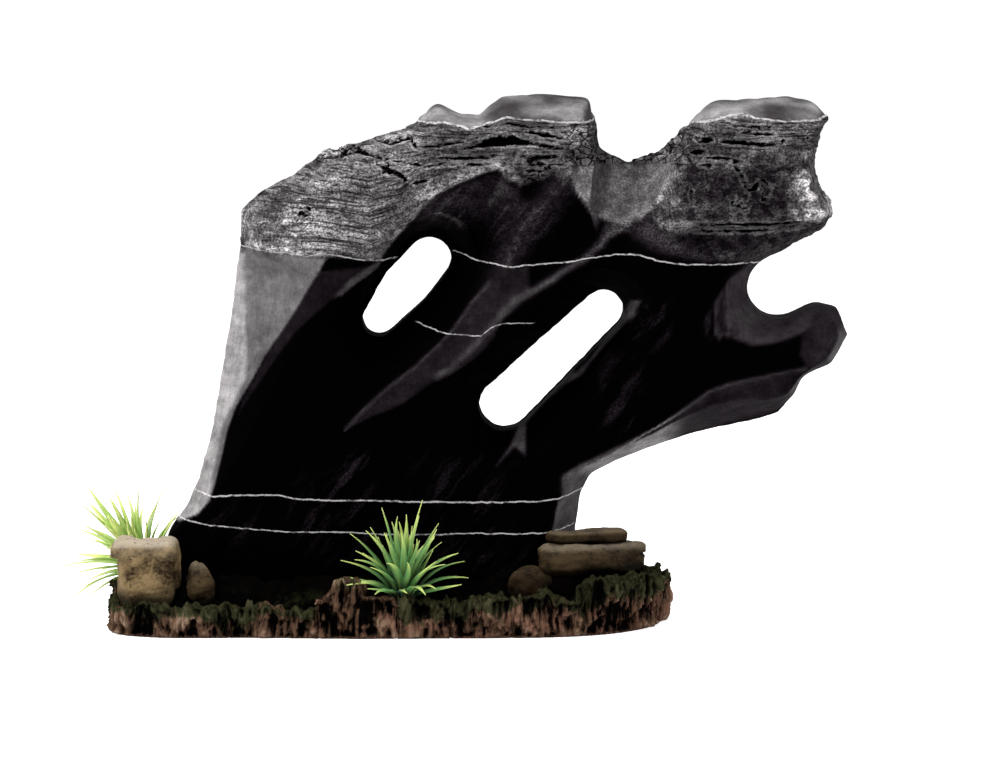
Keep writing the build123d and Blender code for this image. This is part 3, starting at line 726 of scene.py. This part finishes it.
def rock_tones(points, normals, rugged):
    """The brightness painted on at each point, as seen on a screen, and where it is specked and grainy; besides
    the paint's own tones it holds painted light on the faces turned to the lamps.
    """
    x, z = face_place(points)
    nx, _, nz = normals.T
    tone = np.full(len(x), CORE_TONE)
    specks = np.zeros(len(x))

    def paint(value, mask):
        """Brings the tone to value where mask is 1."""
        tone[:] = tone + (value - tone) * mask

    bowl = within(x, z, BOWL, 2.0)
    paint(0.13, bowl * smooth(152, 172, z))
    specks += 0.9 * bowl * smooth(150, 160, z)
    paint(0.12, near(x, z, CROWN_LINE, 6.0))
    paint(0.17, near(x, z, CROWN_LINE, 1.3))
    paint(0.09, within(x, z, DASHED, 0.8))
    paint(0.115, within(x, z, MID_FACET, 0.7))
    paint(0.23, 0.9 * near(x, z, MID_RIDGE, 1.5))
    paint(0.20, 0.8 * near(x, z, MID_EDGE, 0.7))
    paint(0.25, within(x, z, SLOT_STRIP, 0.5))
    paint(0.16, within(x, z, DIM_RIGHT, 3.0))
    paint(0.31 + 0.20 * smooth(20, -45, x), rugged)
    paint(0.27, rugged * smooth(22, 34, x) * smooth(80, 72, x))
    paint(0.18, rugged * smooth(46, 52, x) * smooth(76, 72, x) * smooth(186, 178, z))
    paint(0.45, rugged * near(x, z, SHOULDER_LINE, 4.0))
    paint(0.18, rugged * smooth(112, 122, x) * smooth(188, 182, z))
    hollow = np.exp(-(((x - 146) / 11) ** 2) - ((z - 175) / 8) ** 2)    # in the right lump
    paint(0.11, 0.9 * rugged * hollow)
    paint(0.06 + 0.08 * smooth(108, 135, x), rugged * within(x, z, DIM_RIGHT, 1.5) * smooth(159, 155, z))
    paint(0.27, 0.9 * near(x, z, UPPER_RIDGE, 1.6))
    dish = inside_depth(x, z, SADDLE_DISH)
    paint(0.40, smooth(-0.8, 0.8, dish))
    paint(0.47, 0.8 * np.exp(-((dish / 0.8) ** 2)) * smooth(182, 178, z))
    paint(0.66, rugged * smooth(155, 167, x) * smooth(187, 176, z) * smooth(160, 166, z))
    paint(0.22, 0.95 * within(x, z, LOWER_STRIP, 0.9))
    # A painted highlight along the underside edge.
    paint(0.27, within(x, z, UNDER_EDGE_HIGHLIGHT, 1.2))
    paint(0.13 + 0.05 * fractal(points, 12.0, 57, 3), within(x, z, FLANGE, 0.5) * smooth(96, 108, x))
    paint(0.24, 0.8 * near(x, z, FLANGE[:8], 1.0) * smooth(104, 112, x))
    streaks = fractal(points, (1.6, 1.6, 16.0), 47, 2)
    hook = within(x, z, HOOK_TOP, 1.2) * smooth(122, 136, x + 9.0 * streaks)
    paint(0.20, hook * (0.88 + 0.12 * streaks))
    paint(0.12, within(x, z, HOOK_TIP, 1.5))
    # The left facet is painted grey, darker towards its foot, partly the dry-brushed grey of the paint and
    # partly painted light from the left; its leftmost strip is painted lighter as painted light.
    facet = within(x, z, LEFT_FACET, 0.6)
    paint(0.38 - 0.04 * smooth(135, 110, z), facet)
    paint(0.55, facet * within(x, z, LEFT_STRIP, 1.0))
    away = smooth(9.0, 13.0, outside_slots(x, z))
    # Faces turned to the left are painted lighter: painted light from the left.
    lit_left_side = smooth(0.84, 0.96, -nx) * smooth(36, 60, z) * smooth(-20, -40, x) * smooth(151, 147, z)
    paint(0.62, lit_left_side * away)
    # Faces turned upwards near the top are painted lighter: painted light from above.
    paint(0.34, smooth(0.40, 0.75, nz) * smooth(150, 170, z))
    # The caps on top are painted grey, partly the dry-brushed grey of the paint and partly painted light from
    # above, with painted facet shading from a slow noise and darker at the right end.
    caps = smooth(-0.5, 0.8, z - level_along(x, CAP_EDGE))
    planes = fractal(points, (15.0, 15.0, 7.0), 83, 2)
    paint(np.clip(0.38 + 0.28 * planes - 0.10 * smooth(146, 150, x), 0.20, 0.50), caps)
    by_bay = smooth(10.0, 14.0, tangent_depth(x, z, BAY))
    # Faces turned to the right, away from the bay, are painted lighter: painted light from the right.
    paint(0.25, smooth(0.55, 0.85, nx) * smooth(50, 60, x) * away * by_bay)
    # Faces turned downwards on the lower right arm are painted lighter: a painted highlight on the underside.
    paint(0.50, smooth(0.45, 0.8, -nz) * smooth(70, 84, x) * smooth(120, 106, x) * smooth(100, 90, z))
    for (cx, cz), reach, strength in SPECKED:
        specks = np.maximum(specks, strength * smooth(reach, 0.25 * reach, np.hypot(x - cx, z - cz)))
    grain = 0.2 + 0.8 * smooth(140, 150, z)
    grain = grain * (1.0 - facet) * (1.0 - hook) * (1.0 - caps) * (1.0 - 0.4 * within(x, z, SADDLE_DISH))
    return tone, specks, grain


def sculpt_rock():
    node = "cave_rock"
    obj, points, normals = carved_from(node, "slate_rock", voxel=1.25, soften=5)
    mesh = obj.data
    height, rugged = rock_heights(points)
    facing = np.clip(np.abs(normals[:, 1]), 0.0, 1.0) ** 1.5
    points[:, 1] += np.sign(normals[:, 1]) * facing * height
    write_points(mesh, points)
    normals = read_normals(mesh)
    x, y, z = points.T                     # these follow the points as they are moved
    face_x, face_z = face_place(points)
    cap = smooth(-0.8, 0.8, z - level_along(face_x, CAP_EDGE))
    dish = within(face_x, face_z, SADDLE_DISH, 1.0) * smooth(186, 180, z)
    # The rugged surface wraps round the upper rim, away from the slots, but stops at the smooth caps.
    edge_zone = smooth(0.25, 0.6, np.abs(normals[:, 0]) + np.abs(normals[:, 2])) * smooth(146, 152, z)
    outer = np.maximum.reduce([smooth(-20, -30, x), smooth(183, 187, z), smooth(118, 124, x)])
    edge_zone *= smooth(10, 18, outside_slots(x, z)) * outer
    rim = np.clip(rugged + edge_zone, 0, 1) * (1.0 - cap) * (1.0 - 0.5 * dish)
    strata = strata_level(points)
    bent = np.stack([x, y, strata], axis=1)
    layers = fractal(bent, (26.0, 26.0, 4.0), 21, 4, 0.55)
    ledge = np.sign(layers) * np.abs(layers) ** 0.7
    pits = fractal(points, 2.8, 41, 3)
    crack = crack_distance(points)
    calm = 1.0 - 0.45 * smooth(10, -20, x)
    cut = 2.4 * smooth(1.2, -0.8, crack) * np.clip(rim + 0.3, 0, 1)
    carved = calm * rim * (1.3 * ledge + 0.6 * pits) - cut
    swell = 0.3 * fractal(points, 11.0, 61, 4) + 0.25 * fractal(bent, (40.0, 40.0, 2.5), 71, 2)
    facets = np.abs(fractal(points, (16.0, 16.0, 9.0), 81, 2))
    plain = (1.0 - rim) * swell + 1.5 * cap * facets
    shift = (carved + plain) * smooth(PLINTH_BURIED, PLINTH_CLEAR, z)
    points += normals * shift[:, None]
    write_points(mesh, points)
    tone, specks, grain = rock_tones(points, normals, rim)
    left_lump = smooth(60, 40, face_x) * smooth(-1, 5, inside_depth(face_x, face_z, LAYERED_LEFT))
    shoulder = near(face_x, face_z, SHOULDER_LINE, 6.0)
    stippled = smooth(-30, -46, face_x) * smooth(172, 164, face_z)
    crown = smooth(187, 191, z)
    layered = np.maximum(0.9 * left_lump * (1 - 0.8 * shoulder) * (1 - 0.6 * stippled), 0.8 * crown)
    crackle = smooth(68, 74, face_x) * smooth(122, 116, face_x) * smooth(181, 185, face_z) * (1.0 - cap)
    for name, values in (
        ("tone", tone), ("rugged", rim), ("specks", np.clip(specks, 0, 1)), ("grain", grain),
        ("layered", layered), ("crackle", crackle), ("strata", strata),
        ("crack", np.where(rim > 0.02, crack, NO_CRACK)),
        ("relief", np.clip(ledge * 0.7 + 0.6 * pits, -1.0, 1.0)),
    ):
        store(mesh, name, values)
    by_side = np.where(y < 0, 1.0, 0.8)    # the pale lines are fainter on the back
    x, z = face_place(points)
    off_slots = smooth(0.5, 1.5, outside_slots(x, z))
    for name, (line, (left, right), _) in VEINS.items():
        store(mesh, name, z - level_along(x, line))
        ends = smooth(left - 1, left + 1, x) * smooth(right + 1, right - 1, x)
        store(mesh, name + "_on", ends * off_slots * by_side)
    place(obj, node, slate_material())


# ---- plinth dressing
def stirred(points, size, seed):
    """The points, each pushed up to 2 mm along every axis by a slow noise."""
    return points + 2.0 * np.stack([fractal(points, size, seed + axis, 2) for axis in range(3)], axis=1)


def ridged(points, size, seed, octaves=3):
    """Noise that reaches 1 along sharp crests."""
    return 1.0 - 4.0 * np.abs(fractal(points, size, seed, octaves, 0.5))


def sculpt_bark():
    material = bark_material()
    for node in sorted(n for n in bodies if n.startswith("bark_")):
        name = node.replace("bark_", "bark_chunk_")
        obj, points, normals = carved_from(node, name, voxel=0.7, soften=1)
        mesh = obj.data
        x, y, z = points.T
        outward = np.stack([x, 2.0 * y, 0 * z], axis=1)
        outward /= np.linalg.norm(outward, axis=1)[:, None]
        side = smooth(0.1, 0.6, (normals * outward).sum(axis=1))
        top = z.max()
        stump = node == "bark_stump"
        flow = stirred(points, 9.0, 61)
        ribs = np.clip(ridged(flow, (3.0, 3.0, 15.0), 5), -1.4, 1)
        chunks = fractal(flow, (8.0, 8.0, 6.0), 8, 3)
        crumbs = ridged(flow, (2.6, 2.6, 3.2), 28, 2)
        blocks = np.round(4.0 * fractal(flow, (8.0, 8.0, 8.0), 18, 1)) / 4.0
        shift = side * (1.4 * ribs + 2.0 * chunks + 1.6 * blocks + 0.4 * crumbs - 0.7)
        shift = np.clip(shift, -3.0, 2.6) * smooth(0.0, 1.4, z)
        points += normals * shift[:, None]
        flat = points * np.array([1.0, 1.0, 0.0])
        lift = 3.4 * fractal(flat, 3.0, 25, 2) + 3.4 * fractal(flat, 9.0, 35, 2)
        if stump:
            lift -= 5.0 * smooth(-19.0, -24.0, x) * smooth(17.0, 20.0, z)
            lift = np.minimum(lift, 1.2) + 1.2 * smooth(-9, -13, x) * smooth(-20, -17, x)
        points[:, 2] += lift * smooth(top - 8.0, top - 1.0, points[:, 2])
        points[:, 2] = np.maximum(points[:, 2], 0.0)
        write_points(mesh, points)
        # The relief, for the painted shade in the crevices and the painted highlight on the ridges.
        store(mesh, "relief", np.clip(0.55 + 0.26 * shift, 0, 1))
        patch = 10.0 * fractal(points, (15.0, 15.0, 40.0), 29, 2)
        store(mesh, "mossy", smooth(top - 11.0 + patch, top + 1.0 + patch, z) * (0.45 if stump else 1.0))
        store(mesh, "redness", smooth(20.0, 6.0, z) * smooth(-120, 60, x))
        place(obj, node, material)


def sculpt_moss():
    node = "moss_bed"
    obj, points, normals = carved_from(node, "moss_carpet", voxel=0.95, soften=2)
    mesh = obj.data
    up = smooth(0.1, 0.6, normals[:, 2])
    flow = stirred(points, 8.0, 71)
    tufts = ridged(flow, 5.0, 3, 4)
    clumps = fractal(flow, 11.0, 9, 3)
    shift = np.clip(up * (1.3 * tufts + 3.0 * clumps), -2.4, 3.0)
    points[:, 2] += shift
    write_points(mesh, points)
    store(mesh, "relief", np.clip(0.5 + 0.22 * shift, 0, 1))
    store(mesh, "front", smooth(19.0, 12.0, points[:, 2]))
    place(obj, node, moss_material())


# Each stone: its CAD node, its name here, the size of its dents, how pale its top is painted (a painted
# highlight), how deeply it is painted in shade, and the share of that shading its top is spared (painted
# light).
STONES = [
    ("block_stone", "block_stone_shape", 12.0, 0.7, 0.22, 0.35),
    ("left_pebble", "left_pebble_shape", 8.0, 0.4, 0.83, 0.15),
    ("right_pebble", "right_pebble_shape", 8.0, 0.1, 0.96, 0.08),
    ("lower_flat_stone", "lower_flat_rock", 9.0, 0.5, 0.87, 0.25),
    ("upper_flat_stone", "upper_flat_rock", 7.0, 0.3, 0.95, 0.25),
]


def sculpt_stones():
    material = stone_material()
    for node, name, grain, paleness, shade, lit_share in STONES:
        obj, points, normals = carved_from(node, name, voxel=0.7, soften=8)
        mesh = obj.data
        z = points[:, 2]
        dents = fractal(points, grain, 3, 4, 0.5)
        shift = 1.6 * dents - 1.2 * smooth(0.15, 0.5, fractal(points, grain * 0.9, 13, 2))
        if "flat" in node:
            shift = 1.4 * dents + 1.5 * fractal(points, (14.0, 14.0, 2.6), 23, 3) - 0.3
        points += normals * shift[:, None]
        write_points(mesh, points)
        low, high = z.min(), z.max()
        store(mesh, "relief", np.clip(0.5 + 0.6 * dents, 0, 1))
        store(mesh, "low", 1.0 - smooth(low + 1.0, low + 0.55 * (high - low), z))
        # Paler where it faces up and near its top, and spared some of its shade there: painted light from
        # above.
        upward = normals[:, 2]
        tone_factor = smooth(0.35, 0.85, upward) + 0.2 * smooth(high - 9, high - 3, z)
        store(mesh, "pale", paleness * tone_factor)
        store(mesh, "shade", shade * (1.0 - lit_share * smooth(0.15, 0.8, upward)))
        place(obj, node, material)


# ---- grass
# Each tuft: where it is seated, its lean about X and Y in degrees, the side on which its blades are crowded
# and stand steeply, and how many degrees the blades on the -X side hang.
TUFTS = {
    "front_tuft": {"seat": (6.16, -42.0, 13.6), "lean": (11.0, 0.0), "crowded_side": 90.0, "droop": 0.0},
    "rear_tuft": {"seat": (-98.56, 26.0, 13.6), "lean": (0.0, -32.0), "crowded_side": -70.0, "droop": 14.0},
}
# Each whorl from the lowest up: blades, their length, the rise of their chord, their bow, the first azimuth.
WHORLS = [
    (9, 24.5, 22.0, 3.4, 10.0),
    (8, 27.5, 42.0, 3.0, 32.0),
    (7, 29.5, 60.0, 2.0, 12.0),
    (5, 31.0, 78.0, 0.9, 40.0),
]
SEAT_GAP = 0.1
COLLAR_HEIGHT = 1.6
HUB_PITCH = 2.1
HUB_LIFT = 0.06               # each hub stands this far clear of what it sits on
HUB_HEIGHT = 1.9
HUB_RADII = (5.2, 4.3, 3.4, 2.5)
HUB_SIDES = 16
BLADE_STEPS = 12
GRASS_SEED = 7
WIDEST = 0.25                 # how far along a blade it is widest


def tuft_matrix(tuft):
    lean_x, lean_y = (radians(a) for a in tuft["lean"])
    turn = Matrix.Rotation(lean_x, 4, "X") @ Matrix.Rotation(lean_y, 4, "Y")
    return Matrix.Translation(Vector(tuft["seat"])) @ turn


def blade_rings(length, bow, width, twist, sway):
    """Cross-sections of a blade along +X, bowed upwards: a shallow channel that narrows to a point."""
    rings = []
    for i in range(BLADE_STEPS + 1):
        t = i / BLADE_STEPS
        s = 1.0 - t
        beyond = max(0.0, t - WIDEST) / (1.0 - WIDEST)
        share = 0.62 + 1.5 * t if t < WIDEST else 0.995 * (1.0 - beyond ** 1.7)
        half = 0.5 * width * max(0.06, share)
        centre = Vector((length * t, sway * sin(pi * t) * t, bow * 4 * t * s * (1.15 - 0.3 * t)))
        thick = 0.30 * (0.35 + 0.65 * s)
        turn = Matrix.Rotation(radians(twist) * t, 3, "X")
        ring = []
        for across, lift in ((-1.0, 0.32), (-0.5, 0.10), (0.0, 0.0), (0.5, 0.10), (1.0, 0.32)):
            ring.append((Vector((0, across * half, lift * half + thick)), 1.0 - abs(across)))
        for across, lift in ((0.5, 0.10), (0.0, 0.0), (-0.5, 0.10)):
            ring.append((Vector((0, across * half, lift * half - thick)), 1.0 - abs(across)))
        rings.append([(centre + turn @ offset, t, rib) for offset, rib in ring])
    return rings


def build_whorl(name, tuft, level, rng):
    """One whorl: a hub with full blades around it and a shorter blade between each two."""
    blades, length, rise, bow, first = WHORLS[level]
    foot = SEAT_GAP + COLLAR_HEIGHT + level * HUB_PITCH + HUB_LIFT
    base = tuft_matrix(tuft) @ Matrix.Translation((0, 0, foot))
    verts, faces, along, ribs, vary = [], [], [], [], []

    def add_rings(rings, matrix, shade):
        """Skins a row of rings and closes both ends."""
        start = len(verts)
        around = len(rings[0])
        for ring in rings:
            for point, t, rib in ring:
                verts.append(matrix @ point)
                along.append(t)
                ribs.append(rib)
                vary.append(shade)
        for i in range(len(rings) - 1):
            for j in range(around):
                k = (j + 1) % around
                a, b = start + i * around, start + (i + 1) * around
                faces.append((a + j, a + k, b + k, b + j))
        faces.append(tuple(start + j for j in range(around))[::-1])
        end = start + (len(rings) - 1) * around
        faces.append(tuple(end + j for j in range(around)))

    hub = HUB_RADII[level]
    top = HUB_HEIGHT
    profile = [(hub * 0.72, 0.0), (hub, 0.35), (hub, top - 0.6), (hub * 0.8, top), (0.4, top)]
    turns = [2 * pi * j / HUB_SIDES for j in range(HUB_SIDES)]
    hub_rings = [
        [(Vector((radius * cos(turn), radius * sin(turn), z)), 0.0, 0.0) for turn in turns]
        for radius, z in profile
    ]
    add_rings(hub_rings, base, 0.3)
    for i in np.arange(0, blades, 0.5):
        between = i % 1 > 0                       # a shorter blade
        azimuth = first + 360.0 * i / blades + rng.uniform(-6, 6) * between
        droop = tuft["droop"] * max(0.0, -cos(radians(azimuth))) * (level < 2)
        crowding = max(0.0, cos(radians(azimuth - tuft["crowded_side"])))
        steepest = max(76.0 + 3.0 * level, rise)
        blade_rise = rise + (steepest - rise) * crowding + rng.uniform(-2, 9) * between - droop
        reach = length * (1 + 0.12 * sin(2.3 * i + 1.7 * level)) * (1 - 0.38 * crowding)
        reach *= 0.84 if between else 1.0
        reach *= 1.0 + 0.012 * droop
        matrix = base @ Matrix.Rotation(radians(azimuth), 4, "Z")
        matrix = matrix @ Matrix.Translation((hub - 0.6, 0, HUB_HEIGHT / 2))
        matrix = matrix @ Matrix.Rotation(-radians(blade_rise), 4, "Y")
        blade_bow = bow * (1 - 0.8 * crowding) * rng.uniform(0.1, 1.1)
        width, twist, sway = rng.uniform(2.6, 3.5), rng.uniform(-30, 30), rng.uniform(-2.6, 2.6)
        add_rings(blade_rings(reach * 1.02, blade_bow, width, twist, sway), matrix, rng.uniform(0, 1))
    mesh = bpy.data.meshes.new(name)
    mesh.from_pydata([v * MM for v in verts], [], faces)
    mesh.validate()
    shade_smooth(mesh)
    store(mesh, "along", along)
    store(mesh, "rib", ribs)
    store(mesh, "vary", vary)
    return added(name, mesh)


def build_grass():
    rng = np.random.default_rng(GRASS_SEED)
    looks = {
        "front_tuft": grass_material("grass_front", srgb(22, 62, 50), srgb(88, 140, 84), srgb(196, 214, 120)),
        "rear_tuft": grass_material("grass_rear", srgb(60, 110, 52), srgb(150, 186, 92), srgb(222, 232, 140)),
    }
    stem = plain_material("grass_stem", srgb(14, 44, 36), srgb(28, 72, 50))
    for name, tuft in TUFTS.items():
        for level in range(len(WHORLS)):
            node = f"{name}_whorl_{level + 1}"
            obj = build_whorl(f"{name}_blades_{level + 1}", tuft, level, rng)
            place(obj, node, looks[name])
        recolour(frame["nodes"][f"{name}_plug"], stem)


# ---- stage
FLOOR_REACH = 4.0             # metres from its middle to each side
FLOOR_GREY, FLOOR_GLOW = 0.86, 0.66
ROOM_LIGHT = 0.42             # the white surroundings as a light; the camera sees them at full strength


def build_stage():
    """A white floor that the camera sees a little brighter than it is lit."""
    mesh = bpy.data.meshes.new("floor")
    r = FLOOR_REACH
    mesh.from_pydata([(-r, -r, 0), (r, -r, 0), (r, r, 0), (-r, r, 0)], [], [(0, 1, 2, 3)])
    floor = added("floor", mesh)
    material = bpy.data.materials.new("floor_white")
    material.use_nodes = True
    tree = material.node_tree
    tree.nodes.clear()
    diffuse = tree.nodes.new("ShaderNodeBsdfDiffuse")
    diffuse.inputs[0].default_value = (FLOOR_GREY, FLOOR_GREY, FLOOR_GREY, 1)
    glow = tree.nodes.new("ShaderNodeEmission")
    path = tree.nodes.new("ShaderNodeLightPath")
    lift = tree.nodes.new("ShaderNodeMath")
    lift.operation = "MULTIPLY"
    lift.inputs[1].default_value = FLOOR_GLOW
    tree.links.new(path.outputs["Is Camera Ray"], lift.inputs[0])
    tree.links.new(lift.outputs[0], glow.inputs["Strength"])
    both = tree.nodes.new("ShaderNodeAddShader")
    tree.links.new(diffuse.outputs[0], both.inputs[0])
    tree.links.new(glow.outputs[0], both.inputs[1])
    out = tree.nodes.new("ShaderNodeOutputMaterial")
    tree.links.new(both.outputs[0], out.inputs["Surface"])
    mesh.materials.append(material)


def build_world():
    world = bpy.data.worlds.new("studio")
    bpy.context.scene.world = world
    world.use_nodes = True
    tree = world.node_tree
    background = tree.nodes["Background"]
    path = tree.nodes.new("ShaderNodeLightPath")
    strength = tree.nodes.new("ShaderNodeMapRange")
    strength.inputs["To Min"].default_value = ROOM_LIGHT
    strength.inputs["To Max"].default_value = 1.0
    tree.links.new(path.outputs["Is Camera Ray"], strength.inputs["Value"])
    tree.links.new(strength.outputs[0], background.inputs["Strength"])
    background.inputs["Color"].default_value = (1, 1, 1, 1)


def softbox(name, position, aim, size, power):
    light = bpy.data.lights.new(name, "AREA")
    light.shape = "DISK"
    light.size = size
    light.energy = power
    lamp = added(name, light)
    lamp.location = position
    lamp.rotation_euler = (Vector(aim) - Vector(position)).to_track_quat("-Z", "Y").to_euler()


CAMERA_ELEVATION = 7.0
CAMERA_DISTANCE = 2.0
FRAME_WIDTH = 0.4             # what the picture spans at the ornament, in metres
AIM = (0.0442, 0.0, 0.0957)


def build_camera():
    data = bpy.data.cameras.new("camera")
    data.sensor_width = 36.0
    data.lens = data.sensor_width * CAMERA_DISTANCE / FRAME_WIDTH
    data.clip_end = 20.0
    camera = added("camera", data)
    tilt = radians(CAMERA_ELEVATION)
    camera.location = Vector(AIM) + CAMERA_DISTANCE * Vector((0, -cos(tilt), sin(tilt)))
    camera.rotation_euler = (pi / 2 - tilt, 0, 0)
    bpy.context.scene.camera = camera


def dress_plinth():
    earth = plain_material("plinth", srgb(36, 29, 25), srgb(58, 47, 40))
    recolour(frame["nodes"]["base_plinth"], earth)


sculpt_rock()
sculpt_bark()
sculpt_moss()
sculpt_stones()
build_grass()
dress_plinth()
build_stage()
build_world()
softbox("key", (-0.75, -0.55, 0.85), (0.02, 0, 0.10), 0.7, 14.0)
softbox("side", (0.95, -0.25, 0.45), (0.05, 0, 0.08), 0.6, 5.0)
softbox("overhead", (0.05, 0.15, 1.2), (0.05, 0, 0.1), 0.9, 9.0)
build_camera()
bpy.context.scene.view_settings.view_transform = "Standard"
